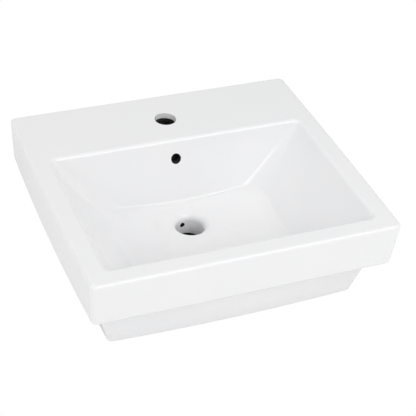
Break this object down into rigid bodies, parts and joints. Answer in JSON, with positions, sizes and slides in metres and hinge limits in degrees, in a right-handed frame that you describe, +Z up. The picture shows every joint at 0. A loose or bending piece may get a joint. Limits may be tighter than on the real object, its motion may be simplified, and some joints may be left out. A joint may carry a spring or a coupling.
{
  "type": "pedestal sink basin",
  "caption": "Rectangular pedestal basin in white glazed china, with a rear tap deck, a leaning-walled bowl, an overflow passage and wall fixing bolts.",
  "frame": {"origin": "on the back plane, midway between the two wall-fixing holes, 48 mm below the deck", "axes": "+X to the right of someone standing at the basin, +Y into the wall, +Z up out of the deck"},
  "size_m": [0.483, 0.482, 0.152],
  "materials": {
    "china": "gloss white fired glaze",
    "zinc_steel": "bright zinc plated",
    "white_nylon": "moulded nylon",
    "grey_nylon": "moulded nylon"
  },
  "bodies": {
    "root": {"basin": "china", "hanger_bolt_left": "zinc_steel", "hanger_bolt_right": "zinc_steel", "washer_left": "zinc_steel", "washer_right": "zinc_steel", "nut_left": "zinc_steel", "nut_right": "zinc_steel", "collar_bush_left": "white_nylon", "collar_bush_right": "white_nylon", "wall_plug_left": "grey_nylon", "wall_plug_right": "grey_nylon"}
  },
  "joints": []
}
